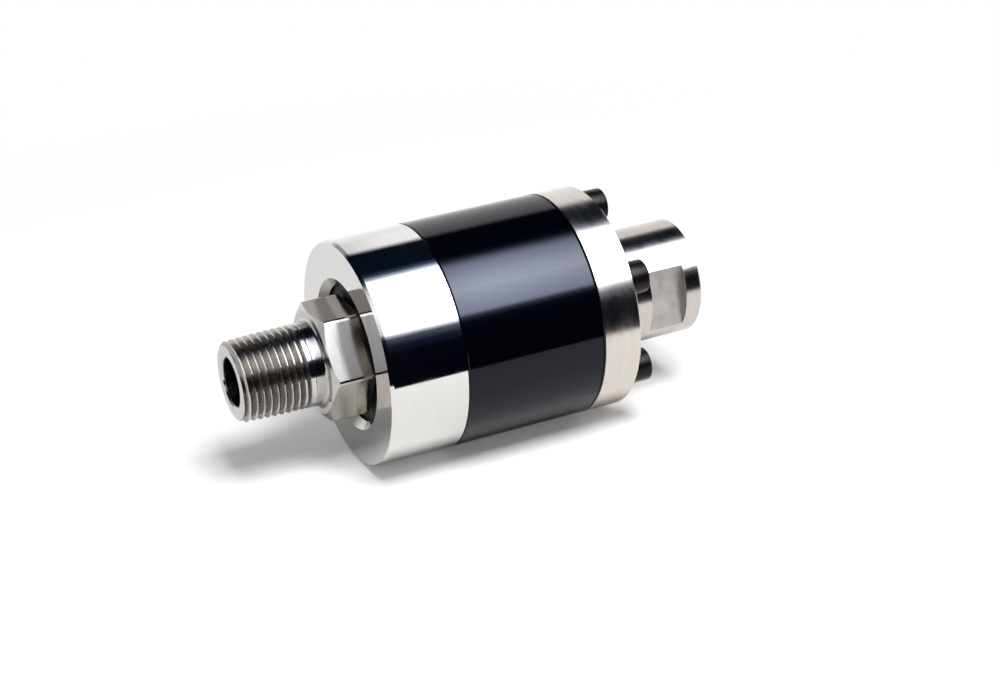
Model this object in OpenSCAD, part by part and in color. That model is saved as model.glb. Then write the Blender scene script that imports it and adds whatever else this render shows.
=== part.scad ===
// Rotary union with a taper-threaded rotor, two ball bearings and a face seal.
// The turning axis is X. The origin lies on it, in the hex's front face.
// The thread points to -X, the housing's port to +X, and +Z is up.

/* [Rotor] */
// Length of the rotor's thread, in front of the hex
thread_len = 21.5; // [18:0.5:26]
// Full diameter of the taper thread, next to the hex
thread_d = 21.34; // [21.2:0.01:22]
// Diameter of the thread at its small end
thread_tip_d = 20.72; // [20.5:0.01:20.9]
// Thread length in which the diameter grows by one unit
thread_taper = 16; // [12:1:20]
// Chamfer at the thread's small end
thread_chamfer = 0.9; // [0.4:0.1:1.4]
// Fillet between the thread's neck and the hex
neck_fillet = 1.2; // [0.5:0.1:1.6]
// Bore for the fluid, through the whole rotor
bore_d = 12.5; // [10:0.25:13]
// Chamfer at the bore's front edge
bore_chamfer = 0.5; // [0.2:0.1:0.8]
// Width of the hex across its flats
hex_af = 27; // [26:0.5:29]
// Length of the hex
hex_len = 11.3; // [10:0.1:14]
// How far the hex stands out of the front cover
hex_out = 9.15; // [7.5:0.05:9.6]
// How much smaller than the flats the hex's front circle is, on the radius
hex_face_drop = 0.35; // [0.1:0.05:0.8]
// Angle of the hex's corner chamfer, from the face
hex_chamfer_angle = 30; // [20:1:40]
// Diameter of the journal that the shaft seal runs on
journal_d = 24; // [22.5:0.5:25]
// Step from the bearing seat down to the rotor's nose, on the radius
nose_step = 0.8; // [0.6:0.05:1]
// Length of the nose that carries the rotating seal ring
nose_len = 5; // [4.8:0.1:5.6]
// Land between the nose's O-ring groove and its end
nose_land = 0.8; // [0.6:0.05:1]

/* [Front cover] */
// Outer diameter of the cover, the housing and the flange
body_d = 58; // [58:0.5:66]
// Length of the cover's outer band
cover_len = 20.5; // [18:0.5:24]
// Diameter of the cover's mouth, round the hex
mouth_d = 35.7; // [35.4:0.1:36.6]
// Radial width of the mouth's chamfer
mouth_chamfer = 1.65; // [0.5:0.05:2.2]
// Axial depth of the mouth's chamfer
mouth_chamfer_depth = 2.05; // [0.5:0.05:2.4]
// Radial width of the chamfer round the cover's face
face_chamfer = 0.5; // [0.2:0.1:1]
// Axial length of the chamfer round the cover's face
face_chamfer_len = 0.9; // [0.3:0.1:1.6]
// Wall between the shaft seal and the front bearing
web_t = 1.3; // [1:0.1:2.5]
// Radial clearance of the rotor in that wall
web_gap = 2; // [1:0.25:2.5]
// Wall of the cover's spigot round the front bearing
spigot_wall = 2.05; // [1.9:0.05:2.15]
// Length of the cover's spigot behind its retaining ring
spigot_tail = 2; // [1.5:0.1:3]

/* [Bearing housing] */
// Length of the black bearing housing
body_len = 37.3; // [34:0.1:44]
// Length of the seal room, from the rear bearing to the flange
seal_room = 14.5; // [14:0.1:17]
// Bore of the shoulder that the rear bearing stands against
shoulder_d = 32; // [30:0.5:33]
// Wall between the flange's spigot and the screw holes
spigot_web = 1.2; // [0.9:0.05:1.3]
// Space left at the end of each spigot
end_gap = 0.3; // [0.1:0.05:0.5]
// Chamfer on both ends of the housing
housing_chamfer = 0.4; // [0.2:0.05:0.8]
// Chamfer on the edges of the cover's back and of the flange
steel_chamfer = 0.2; // [0.1:0.05:0.4]

/* [Rear flange] */
// Thickness of the flange's outer band
flange_t = 10.3; // [9.5:0.1:14]
// Length of the flange's spigot in the housing
flange_spigot_len = 7; // [6.5:0.1:8]
// Diameter of the stub
stub_d = 30; // [28.5:0.5:32]
// Length of the stub behind the flange
stub_len = 25.8; // [24:0.1:34]
// Fillet where the stub meets the flange
stub_fillet = 0.8; // [0.3:0.1:1.5]
// Width of the stub across its wrench flats
flat_af = 25; // [24:0.25:26]
// Length of the wrench flats along the stub
flat_len = 10.1; // [8:0.1:12]
// Length of the collar behind the wrench flats
collar_len = 4.65; // [3:0.05:6]
// Chamfer on the stub's end
stub_chamfer = 0.5; // [0.2:0.1:1]
// Diameter of the port, at the thread's root before tapping
port_d = 18.4; // [17.5:0.1:19.2]
// Depth of the port
port_len = 16; // [13:0.5:17]
// Diameter of the countersink at the port's mouth
port_mouth_d = 21.6; // [20.5:0.1:22.5]
// Diameter of the passage between the port and the seal
passage_d = 14; // [12.5:0.25:14.5]

/* [Ball bearings] */
// Bore of both bearings, which is the rotor's bearing seat
bearing_bore = 20; // [19.5:0.1:20.5]
// Outer diameter of both bearings
bearing_od = 37; // [36:0.25:37.5]
// Width of both bearings
bearing_w = 9; // [8:0.1:10]
// Radial thickness of the races
race_wall = 2.3; // [2:0.05:2.5]
// Diameter of the balls
ball_d = 5; // [4.6:0.05:5.2]
// Number of balls in a bearing
ball_count = 11; // [8:1:12]
// Clearance of the balls in their grooves
ball_gap = 0.05; // [0.03:0.01:0.08]
// Clearance of the balls in the cage's pockets
pocket_gap = 0.1; // [0.05:0.05:0.2]
// Radial thickness of the cage
cage_wall = 2.4; // [1.8:0.1:2.8]
// Width of the cage
cage_w = 6.8; // [6.2:0.1:7]
// Thickness of the shields
shield_t = 0.3; // [0.2:0.05:0.4]
// Depth of the shields below the bearing's sides
shield_recess = 0.2; // [0.1:0.05:0.3]
// Gap between the shields and the inner race
shield_gap = 0.3; // [0.2:0.05:0.5]

/* [Retaining rings] */
// Thickness of the rings that hold the outer races
clip_t = 1.5; // [1.2:0.1:1.75]
// Depth of their grooves
clip_groove = 0.9; // [0.6:0.05:1]
// Radial width of those rings
clip_band = 2.9; // [2.4:0.1:3]
// Thickness of the ring that holds the inner races
shaft_clip_t = 1.2; // [1:0.1:1.5]
// Depth of its groove in the rotor
shaft_clip_groove = 0.6; // [0.4:0.05:0.8]
// Radial width of that ring
shaft_clip_band = 2.4; // [2:0.1:2.6]
// Land behind the shaft ring, up to the nose
clip_land = 1.75; // [1.4:0.05:2.2]
// Open gap between the ends of a retaining ring
clip_opening = 5; // [3:0.5:7]
// Diameter of the plier holes in the rings' ears
plier_hole_d = 1.6; // [1.2:0.1:1.8]
// Wall round the plier holes
ear_wall = 0.7; // [0.5:0.05:0.9]

/* [Shaft seal] */
// Outer diameter of the shaft seal
seal_od = 35; // [34.5:0.1:35.2]
// Width of the shaft seal
seal_w = 7; // [6:0.1:8]
// Space between the hex and the shaft seal
seal_space = 0.6; // [0.4:0.1:1.2]
// Thickness of the seal's outer wall and front wall
seal_wall = 1.4; // [1.1:0.1:1.5]
// Height of the sealing lip's root above the journal
lip_root = 1.9; // [1.7:0.05:2.1]
// Radial thickness of the lip's thin neck
lip_neck = 0.5; // [0.4:0.05:0.7]
// Radial width of the lip's heel, behind its edge
lip_heel = 0.7; // [0.4:0.05:0.9]
// Size of the dust lip at the seal's front
dust_lip = 0.5; // [0.3:0.05:0.8]
// Diameter of the garter spring's wire coil
garter_d = 0.9; // [0.7:0.05:1]

/* [Face seal] */
// Length of the rotating ring
ring_len = 5.8; // [5.6:0.1:6.4]
// Radial thickness of the rotating ring
ring_wall = 4.75; // [4.5:0.05:5]
// Chamfer on the rotating ring's back edge
ring_back_chamfer = 0.6; // [0.3:0.1:1]
// Chamfer on the rotating ring's sealing edge
ring_face_chamfer = 0.3; // [0.1:0.05:0.6]
// Room at each side of the drive pin in the ring's slot
slot_side = 0.1; // [0.05:0.05:0.2]
// Room above the drive pin in that slot
slot_top = 0.3; // [0.1:0.05:0.5]
// Room in front of the drive pin in that slot
slot_end = 0.25; // [0.1:0.05:0.4]
// Mean diameter of the sealing band
band_d = 22; // [21.5:0.1:22.4]
// Width of the sealing band
band_w = 1.8; // [1.2:0.1:2]
// Height of the sealing band in front of the carbon ring
band_h = 1; // [0.6:0.1:1.2]
// Inner diameter of the carbon ring
carbon_id = 17.2; // [16.5:0.1:17.6]
// Outer diameter of the carbon ring
carbon_od = 25.2; // [24.8:0.1:25.4]
// Length of the carbon ring behind its sealing band
carbon_len = 3.7; // [3.2:0.1:4.2]
// How much of the carbon ring stands out of its carrier
carbon_out = 0.7; // [0.4:0.1:1]
// Outer diameter of the carrier
carrier_od = 28.8; // [28.4:0.1:29]
// Thickness of the carrier's floor
carrier_floor = 1.5; // [1.2:0.1:1.8]
// Outer diameter of the carrier's neck
neck_d = 17.6; // [17:0.1:18]
// Length of the carrier's neck
neck_len = 8; // [7.6:0.1:8.6]
// Radial clearance round the carrier in the flange
pocket_clearance = 0.8; // [0.6:0.05:1]
// How far the carrier can be pushed back
float_travel = 1; // [0.5:0.1:1.2]
// Distance that the neck keeps from the end of its bore when pushed back
neck_reserve = 1; // [0.5:0.1:1.5]
// Space for the spring behind the carrier
spring_room = 5; // [4.6:0.1:5.4]
// Diameter of the spring's wire
spring_wire = 1; // [0.8:0.05:1]
// Mean diameter of the spring
spring_d = 22.4; // [22:0.1:23]
// Turns of the spring
spring_turns = 3.5; // [3:0.25:3.75]
// Closed turns at each end of the spring
closed_turns = 0.75; // [0.5:0.05:0.8]
// Diameter of the two pins that keep the carrier from turning
stop_pin_d = 2; // [1.8:0.1:2.1]
// Space between these pins and the carbon ring
stop_pin_space = 0.5; // [0.4:0.05:0.55]
// Space round these pins in the carrier's notches
notch_gap = 0.2; // [0.15:0.05:0.3]
// Depth of these pins in the flange
stop_pin_depth = 3; // [2:0.1:3.2]
// Diameter of the pin that drives the rotating ring
drive_pin_d = 1.5; // [1.2:0.1:1.6]
// Wall left under that pin
drive_pin_floor = 1.2; // [1:0.1:1.3]
// How far that pin stands out of the nose
drive_pin_out = 1.4; // [1:0.1:1.6]
// Distance from the nose's step to that pin's side
drive_pin_inset = 0.25; // [0.1:0.05:0.3]

/* [O-rings] */
// Depth of the grooves for the rotor's and the carrier's ring
small_groove = 1.3; // [1:0.05:1.35]
// Width of these grooves
small_groove_w = 1.7; // [1.5:0.05:1.8]
// Land between the seal's pocket and the groove in the carrier's bore
neck_land = 1.5; // [1.2:0.1:2]
// Depth of the groove on the flange's spigot
flange_groove = 1.5; // [1.2:0.05:1.8]
// Width of the groove on the flange's spigot
flange_groove_w = 2.2; // [2:0.05:2.6]

/* [Cap screws] */
// Number of screws
screw_count = 6; // [4:1:8]
// Diameter of the screws
screw_d = 5; // [4.5:0.1:5]
// Diameter of the screws' heads
screw_head_d = 8.5; // [8:0.1:9]
// Height of the screws' heads
screw_head_h = 5; // [4:0.1:6]
// Width of the hex socket across its flats
socket_af = 4; // [3:0.5:4.5]
// Depth of the hex socket
socket_depth = 2.5; // [2:0.1:3]
// Length of thread in the front cover
screw_grip = 12.4; // [9:0.1:12.6]
// Thread hole left in front of the screws
screw_reserve = 1.1; // [0.8:0.1:1.6]
// Diameter of the clearance holes
screw_hole_d = 5.5; // [5.3:0.1:5.7]
// How far the heads stay inside the flange's edge
screw_edge = 0.25; // [0.2:0.05:0.5]
// Angle of the first screw, from +Y to +Z
screw_angle = 30; // [0:5:60]
// Chamfer on the screws' heads
head_chamfer = 0.5; // [0.2:0.1:0.8]
// Chamfer on the screws' ends
tip_chamfer = 0.6; // [0.3:0.1:0.9]

/* [Clearances] */
// Radial gap between pieces that are fitted together
fit_gap = 0.04; // [0.02:0.01:0.06]
// Radial clearance between pieces that move on each other
run_gap = 0.06; // [0.04:0.01:0.09]
// Gap between the two sealing faces
face_gap = 0.05; // [0.02:0.01:0.1]
// Gap between a soft ring's round section and its groove
oring_gap = 0.02; // [0.01:0.01:0.03]

/* [Hidden] */

$fn = 96;
cut = 1; // how far a cutting shape runs past what it cuts
fillet_steps = 8; // straight lines in a fillet's quarter-round

// Places along the axis, from the hex's front face
cover_x = hex_out;
cover_end = cover_x + cover_len;
body_end = cover_end + body_len;
flange_end = body_end + flange_t;
stub_end = flange_end + stub_len;
seal_x = hex_len + seal_space;
seal_end = seal_x + seal_w;
front_bearing_x = seal_end + web_t;
front_bearing_end = front_bearing_x + bearing_w;
cover_spigot_end = front_bearing_end + clip_t + spigot_tail;
rear_bearing_end = body_end - seal_room;
rear_bearing_x = rear_bearing_end - bearing_w;
nose_x = rear_bearing_end + shaft_clip_t + clip_land;
nose_end = nose_x + nose_len;
band_x = nose_x + ring_len + face_gap;
carbon_x = band_x + band_h;
carbon_end = carbon_x + carbon_len;
carrier_x = carbon_x + carbon_out;
carrier_back = carbon_end + carrier_floor;
pocket_end = carrier_back + spring_room;
neck_end = carrier_back + neck_len;
neck_bore_end = neck_end + float_travel + neck_reserve;
flange_spigot_x = body_end - flange_spigot_len;
flange_groove_x = flange_spigot_x + (flange_spigot_len - flange_groove_w) / 2;
port_x = stub_end - port_len;
flat_x = stub_end - collar_len - flat_len;
drive_pin_x = nose_x + drive_pin_inset + drive_pin_d / 2;
rotor_groove_x = nose_end - nose_land - small_groove_w;
carrier_groove_x = pocket_end + neck_land;
garter_x = seal_x + 0.625 * seal_w;

// Radii
body_r = body_d / 2;
bore_r = bore_d / 2;
hex_r = hex_af / 2 / cos(30);
hex_face_r = hex_af / 2 - hex_face_drop;
journal_r = journal_d / 2;
shaft_r = bearing_bore / 2;
nose_r = shaft_r - nose_step;
bearing_r = bearing_od / 2;
mouth_r = mouth_d / 2;
seal_r = seal_od / 2;
screw_r = body_r - screw_edge - screw_head_d / 2;
spigot_r = screw_r - screw_hole_d / 2 - spigot_web;
ring_bore_r = nose_r + fit_gap;
ring_r = ring_bore_r + ring_wall;
neck_r = neck_d / 2;
passage_r = passage_d / 2;
carrier_r = carrier_od / 2;
pocket_r = carrier_r + pocket_clearance;
ball_r = ball_d / 2;
pitch_r = (shaft_r + bearing_r) / 2;
inner_race_r = shaft_r + race_wall;
outer_race_r = bearing_r - race_wall;
shield_seat_r = outer_race_r + race_wall / 2;
cover_spigot_r = bearing_r + spigot_wall;
clip_groove_r = bearing_r + clip_groove;
shaft_clip_groove_r = shaft_r - shaft_clip_groove;
carbon_r = carbon_od / 2;
stop_pin_r = carbon_r + stop_pin_space + stop_pin_d / 2;
garter_r = journal_r + lip_root;
thread_cone_len = (thread_d - thread_tip_d) * thread_taper;

// A profile of [radius, x] points, turned about the axis
module turned(profile) {
    rotate([0, 90, 0]) rotate_extrude() polygon(profile);
}

// A ring of round section about the axis
module round_ring(radius, x, section_r) {
    rotate([0, 90, 0]) rotate_extrude() translate([radius, x]) circle(r = section_r, $fn = 48);
}

// A straight round bar or hole along the axis
module bar(x, length, r) {
    translate([x, 0, 0]) rotate([0, 90, 0]) cylinder(h = length, r = r);
}

// A hex bar along the axis, with two corners level with it
module hex_bar(x, length, r) {
    translate([x, 0, 0]) rotate([90, 0, 0]) rotate([0, 90, 0]) cylinder(h = length, r = r, $fn = 6);
}

// Copies of a shape about the axis; the first lies at the start angle, from +Y to +Z
module around(count, radius, start = 0) {
    for (i = [0 : count - 1])
        rotate([start + i * 360 / count, 0, 0]) translate([0, radius, 0]) children();
}

module rotor_outline() {
    thread_r = thread_d / 2;
    tip_r = thread_tip_d / 2;
    turned(concat(
        [
            [0, -thread_len],
            [tip_r - thread_chamfer, -thread_len],
            [tip_r, -thread_len + thread_chamfer],
            [thread_r, -thread_len + thread_cone_len]
        ],
        // the neck's fillet, which opens towards the hex
        [for (i = [0 : fillet_steps]) [
            thread_r + neck_fillet * (1 - cos(i * 90 / fillet_steps)),
            -neck_fillet * (1 - sin(i * 90 / fillet_steps))
        ]],
        [
            [journal_r, 0],
            [journal_r, front_bearing_x],
            [shaft_r, front_bearing_x],
            [shaft_r, nose_x],
            [nose_r, nose_x],
            [nose_r, nose_end],
            [0, nose_end]
        ]
    ));
}

// The hex, with its front corners turned to a chamfer
module rotor_hex() {
    chamfer_run = (hex_r + cut - hex_face_r) * tan(hex_chamfer_angle);
    intersection() {
        hex_bar(0, hex_len, hex_r);
        turned([
            [0, 0],
            [hex_face_r, 0],
            [hex_r + cut, chamfer_run],
            [hex_r + cut, hex_len],
            [0, hex_len]
        ]);
    }
}

module rotor_shaft() color("#c9c5bd") {
    difference() {
        union() {
            rotor_outline();
            rotor_hex();
        }
        turned([
            [0, -thread_len - cut],
            [bore_r + bore_chamfer + cut, -thread_len - cut],
            [bore_r, -thread_len + bore_chamfer],
            [bore_r, nose_end + cut],
            [0, nose_end + cut]
        ]);
        // groove of the shaft retaining ring
        turned([
            [shaft_clip_groove_r, rear_bearing_end],
            [shaft_r + cut, rear_bearing_end],
            [shaft_r + cut, rear_bearing_end + shaft_clip_t + fit_gap],
            [shaft_clip_groove_r, rear_bearing_end + shaft_clip_t + fit_gap]
        ]);
        // groove of the O-ring on the nose
        turned([
            [nose_r - small_groove, rotor_groove_x],
            [nose_r + cut, rotor_groove_x],
            [nose_r + cut, rotor_groove_x + small_groove_w],
            [nose_r - small_groove, rotor_groove_x + small_groove_w]
        ]);
        translate([drive_pin_x, 0, bore_r + drive_pin_floor])
            cylinder(h = nose_r, d = drive_pin_d + 2 * fit_gap);
    }
}

module front_cover() color("#d8d6d0") {
    web_r = journal_r + web_gap;
    screw_hole_x = cover_end - screw_grip - screw_reserve;
    difference() {
        turned([
            [mouth_r + mouth_chamfer, cover_x],
            [body_r - face_chamfer, cover_x],
            [body_r, cover_x + face_chamfer_len],
            [body_r, cover_end - steel_chamfer],
            [body_r - steel_chamfer, cover_end],
            [cover_spigot_r - fit_gap, cover_end],
            [cover_spigot_r - fit_gap, cover_spigot_end],
            [bearing_r + fit_gap, cover_spigot_end],
            [bearing_r + fit_gap, front_bearing_end + clip_t + fit_gap],
            [clip_groove_r, front_bearing_end + clip_t + fit_gap],
            [clip_groove_r, front_bearing_end],
            [bearing_r + fit_gap, front_bearing_end],
            [bearing_r + fit_gap, front_bearing_x],
            [web_r, front_bearing_x],
            [web_r, seal_end],
            [seal_r + fit_gap, seal_end],
            [seal_r + fit_gap, seal_x],
            [mouth_r, seal_x],
            [mouth_r, cover_x + mouth_chamfer_depth]
        ]);
        // the thread holes, which run on through the spigot
        around(screw_count, screw_r, screw_angle)
            bar(screw_hole_x, cover_spigot_end + cut - screw_hole_x, screw_d / 2 + fit_gap);
    }
}

module bearing_housing() color("#15171d") {
    difference() {
        turned([
            [body_r - housing_chamfer, cover_end],
            [body_r, cover_end + housing_chamfer],
            [body_r, body_end - housing_chamfer],
            [body_r - housing_chamfer, body_end],
            [spigot_r, body_end],
            [spigot_r, flange_spigot_x - end_gap],
            [bearing_r + fit_gap, flange_spigot_x - end_gap],
            [bearing_r + fit_gap, rear_bearing_end + clip_t + fit_gap],
            [clip_groove_r, rear_bearing_end + clip_t + fit_gap],
            [clip_groove_r, rear_bearing_end],
            [bearing_r + fit_gap, rear_bearing_end],
            [bearing_r + fit_gap, rear_bearing_x],
            [shoulder_d / 2, rear_bearing_x],
            [shoulder_d / 2, cover_spigot_end + end_gap],
            [cover_spigot_r, cover_spigot_end + end_gap],
            [cover_spigot_r, cover_end]
        ]);
        around(screw_count, screw_r, screw_angle)
            bar(cover_end - cut, body_len + 2 * cut, screw_hole_d / 2);
    }
}

module rear_flange() color("#d5d2cb") {
    stub_r = stub_d / 2;
    port_r = port_d / 2;
    mouth_step = (port_mouth_d - port_d) / 2;
    difference() {
        turned(concat(
            [
                [0, flange_spigot_x],
                [spigot_r - fit_gap, flange_spigot_x],
                [spigot_r - fit_gap, flange_groove_x],
                [spigot_r - flange_groove, flange_groove_x],
                [spigot_r - flange_groove, flange_groove_x + flange_groove_w],
                [spigot_r - fit_gap, flange_groove_x + flange_groove_w],
                [spigot_r - fit_gap, body_end],
                [body_r - steel_chamfer, body_end],
                [body_r, body_end + steel_chamfer],
                [body_r, flange_end - steel_chamfer],
                [body_r - steel_chamfer, flange_end]
            ],
            // the fillet round the stub's root
            [for (i = [0 : fillet_steps]) [
                stub_r + stub_fillet * (1 - sin(i * 90 / fillet_steps)),
                flange_end + stub_fillet * (1 - cos(i * 90 / fillet_steps))
            ]],
            [
                [stub_r, stub_end - stub_chamfer],
                [stub_r - stub_chamfer, stub_end],
                [0, stub_end]
            ]
        ));
        // the hollow for the seal, its carrier's bore, the passage and the port
        turned([
            [0, flange_spigot_x - cut],
            [pocket_r, flange_spigot_x - cut],
            [pocket_r, pocket_end],
            [neck_r + run_gap, pocket_end],
            [neck_r + run_gap, carrier_groove_x],
            [neck_r + small_groove, carrier_groove_x],
            [neck_r + small_groove, carrier_groove_x + small_groove_w],
            [neck_r + run_gap, carrier_groove_x + small_groove_w],
            [neck_r + run_gap, neck_bore_end],
            [passage_r, neck_bore_end],
            [passage_r, port_x - (port_r - passage_r) / 2],
            [port_r, port_x],
            [port_r, stub_end - mouth_step],
            [port_r + mouth_step, stub_end],
            [port_r + mouth_step, stub_end + cut],
            [0, stub_end + cut]
        ]);
        around(screw_count, screw_r, screw_angle)
            bar(body_end - cut, flange_t + 2 * cut, screw_hole_d / 2);
        around(2, stop_pin_r)
            bar(carrier_x, pocket_end + stop_pin_depth - carrier_x, stop_pin_d / 2 + fit_gap);
        // the two wrench flats, which face -Y and +Y
        for (side = [-1, 1])
            translate([flat_x, side * (flat_af / 2 + stub_r) - stub_r, -stub_r])
                cube([flat_len, stub_d, stub_d]);
    }
}

module cap_screws() color("#1b1a1a") {
    head_r = screw_head_d / 2;
    shank_r = screw_d / 2;
    tip_x = cover_end - screw_grip;
    head_end = flange_end + screw_head_h;
    around(screw_count, screw_r, screw_angle) difference() {
        turned([
            [0, tip_x],
            [shank_r - tip_chamfer, tip_x],
            [shank_r, tip_x + tip_chamfer],
            [shank_r, flange_end],
            [head_r, flange_end],
            [head_r, head_end - head_chamfer],
            [head_r - head_chamfer, head_end],
            [0, head_end]
        ]);
        hex_bar(head_end - socket_depth, socket_depth + cut, socket_af / 2 / cos(30));
    }
}

// A rubber-covered case with a spring-loaded lip behind a dust lip
module shaft_seal() color("#1d1d1f") {
    lip_r = journal_r + run_gap;
    root_r = journal_r + lip_root;
    waist_r = root_r - 0.8 * lip_neck;
    // places along the lip, as shares of the seal's width
    waist_x = seal_x + 0.45 * seal_w;
    bead_x = seal_x + 0.5 * seal_w;
    edge_x = seal_x + 0.6 * seal_w;
    heel_x = seal_x + 0.75 * seal_w;
    difference() {
        turned([
            [lip_r + dust_lip, seal_x],
            [seal_r, seal_x],
            [seal_r, seal_end],
            [seal_r - seal_wall, seal_end],
            [seal_r - seal_wall, seal_x + seal_wall],
            [root_r, seal_x + seal_wall],
            [waist_r, waist_x],
            [root_r, bead_x],
            [root_r, heel_x],
            [lip_r + lip_heel, heel_x],
            [lip_r, edge_x],
            [waist_r - lip_neck, seal_x + seal_wall],
            [lip_r, seal_x + dust_lip]
        ]);
        round_ring(garter_r, garter_x, garter_d / 2 + oring_gap);
    }
}

// It lies half in the lip's back
module garter_spring() color("#b9b9b5")
    round_ring(garter_r, garter_x, garter_d / 2);

module inner_race(x) color("#bfc3c6") difference() {
    turned([
        [shaft_r + fit_gap, x],
        [inner_race_r, x],
        [inner_race_r, x + bearing_w],
        [shaft_r + fit_gap, x + bearing_w]
    ]);
    round_ring(pitch_r, x + bearing_w / 2, ball_r + ball_gap);
}

module outer_race(x) color("#b4b8bc") {
    seat_w = shield_recess + shield_t;
    difference() {
        turned([
            [shield_seat_r, x],
            [bearing_r, x],
            [bearing_r, x + bearing_w],
            [shield_seat_r, x + bearing_w],
            [shield_seat_r, x + bearing_w - seat_w],
            [outer_race_r, x + bearing_w - seat_w],
            [outer_race_r, x + seat_w],
            [shield_seat_r, x + seat_w]
        ]);
        round_ring(pitch_r, x + bearing_w / 2, ball_r + ball_gap);
    }
}

module balls(x) color("#dfe3e6")
    around(ball_count, pitch_r) translate([x + bearing_w / 2, 0, 0]) sphere(r = ball_r);

module ball_cage(x) color("#c59a45") difference() {
    translate([x + (bearing_w - cage_w) / 2, 0, 0]) turned([
        [pitch_r - cage_wall / 2, 0],
        [pitch_r + cage_wall / 2, 0],
        [pitch_r + cage_wall / 2, cage_w],
        [pitch_r - cage_wall / 2, cage_w]
    ]);
    around(ball_count, pitch_r) translate([x + bearing_w / 2, cage_wall, 0]) rotate([90, 0, 0])
        cylinder(h = 2 * cage_wall, r = ball_r + pocket_gap);
}

module bearing_shields(x) color("#9da1a5")
    for (shield_x = [x + shield_recess, x + bearing_w - shield_recess - shield_t])
        turned([
            [inner_race_r + shield_gap, shield_x],
            [shield_seat_r - fit_gap, shield_x],
            [shield_seat_r - fit_gap, shield_x + shield_t],
            [inner_race_r + shield_gap, shield_x + shield_t]
        ]);

// An open ring with two ears for pliers, which point inwards or outwards
module retaining_ring(x, thickness, inner_r, outer_r, ear_at) {
    ear_r = plier_hole_d / 2 + ear_wall;
    ear_y = clip_opening / 2 + ear_r;
    ear_x = sqrt(pow(ear_at, 2) - pow(ear_y, 2));
    translate([x, 0, 0]) rotate([0, 90, 0]) linear_extrude(thickness) difference() {
        union() {
            difference() {
                circle(r = outer_r);
                circle(r = inner_r);
                translate([0, -clip_opening / 2]) square([outer_r + cut, clip_opening]);
            }
            for (side = [-1, 1]) translate([ear_x, side * ear_y]) circle(r = ear_r);
        }
        for (side = [-1, 1]) translate([ear_x, side * ear_y]) circle(d = plier_hole_d, $fn = 32);
    }
}

module housing_ring(x) color("#4a4c50")
    retaining_ring(x, clip_t, clip_groove_r - fit_gap - clip_band, clip_groove_r - fit_gap,
        clip_groove_r - clip_band);

module shaft_retaining_ring() color("#4a4c50")
    retaining_ring(rear_bearing_end, shaft_clip_t, shaft_clip_groove_r + fit_gap,
        shaft_clip_groove_r + fit_gap + shaft_clip_band, shaft_clip_groove_r + shaft_clip_band);

module inner_spacer() color("#a9adb0") turned([
    [shaft_r + fit_gap, front_bearing_end],
    [inner_race_r, front_bearing_end],
    [inner_race_r, rear_bearing_x],
    [shaft_r + fit_gap, rear_bearing_x]
]);

// A hard ring with a slot at its back for the drive pin
module rotating_seal_ring() color("#3a3c40") difference() {
    turned([
        [ring_bore_r, nose_x],
        [ring_r - ring_back_chamfer, nose_x],
        [ring_r, nose_x + ring_back_chamfer],
        [ring_r, nose_x + ring_len - ring_face_chamfer],
        [ring_r - ring_face_chamfer, nose_x + ring_len],
        [ring_bore_r, nose_x + ring_len]
    ]);
    translate([nose_x - cut, -drive_pin_d / 2 - slot_side, 0])
        cube([
            cut + drive_pin_inset + drive_pin_d + slot_end,
            drive_pin_d + 2 * slot_side,
            nose_r + drive_pin_out + slot_top
        ]);
}

module drive_pin() color("#8d9194")
    translate([drive_pin_x, 0, bore_r + drive_pin_floor])
        cylinder(h = nose_r + drive_pin_out - bore_r - drive_pin_floor, d = drive_pin_d);

module rotor_oring() color("#202022")
    soft_ring(nose_r - small_groove, ring_bore_r, rotor_groove_x + small_groove_w / 2);

module carrier_oring() color("#202022")
    soft_ring(neck_r + oring_gap, neck_r + small_groove, carrier_groove_x + small_groove_w / 2);

module flange_oring() color("#202022")
    soft_ring(spigot_r - flange_groove, spigot_r, flange_groove_x + flange_groove_w / 2);

// A rubber ring that fills the radial space between two walls
module soft_ring(inner_r, outer_r, x)
    round_ring((inner_r + outer_r) / 2, x, (outer_r - inner_r) / 2 - oring_gap);

module carbon_seal_ring() color("#2b2c2e") {
    band_r = band_d / 2;
    turned([
        [carbon_id / 2, carbon_x],
        [band_r - band_w / 2, carbon_x],
        [band_r - band_w / 2, band_x],
        [band_r + band_w / 2, band_x],
        [band_r + band_w / 2, carbon_x],
        [carbon_r, carbon_x],
        [carbon_r, carbon_end],
        [carbon_id / 2, carbon_end]
    ]);
}

// A cup that holds the carbon ring, with a neck that slides in the flange
module seal_carrier() color("#cdcbc6") difference() {
    turned([
        [carbon_r + fit_gap, carrier_x],
        [carrier_r, carrier_x],
        [carrier_r, carrier_back],
        [neck_r, carrier_back],
        [neck_r, neck_end],
        [passage_r, neck_end],
        [passage_r, carbon_end],
        [carbon_r + fit_gap, carbon_end]
    ]);
    around(2, stop_pin_r)
        bar(carrier_x - cut, carrier_back - carrier_x + 2 * cut, stop_pin_d / 2 + notch_gap);
}

module antirotation_pins() color("#8d9194")
    around(2, stop_pin_r)
        bar(carrier_x + float_travel, pocket_end + stop_pin_depth - carrier_x - float_travel, stop_pin_d / 2);

// Place of the spring's wire after a number of turns: closed at both ends, open between
function spring_rise(turn) =
    let (
        open_turns = spring_turns - 2 * closed_turns,
        room = spring_room - spring_wire * (1 + 2 * closed_turns) - 2 * fit_gap,
        lead = min(turn, closed_turns) + max(0, turn - spring_turns + closed_turns)
    )
    spring_wire / 2 + fit_gap + spring_wire * lead
        + room * max(0, min(1, (turn - closed_turns) / open_turns));

function spring_point(turn, around_wire) =
    let (
        wire_r = spring_wire / 2,
        r = spring_d / 2 + wire_r * cos(around_wire),
        x = carrier_back + spring_rise(turn) + wire_r * sin(around_wire)
    )
    [x, r * cos(360 * turn), r * sin(360 * turn)];

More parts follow.
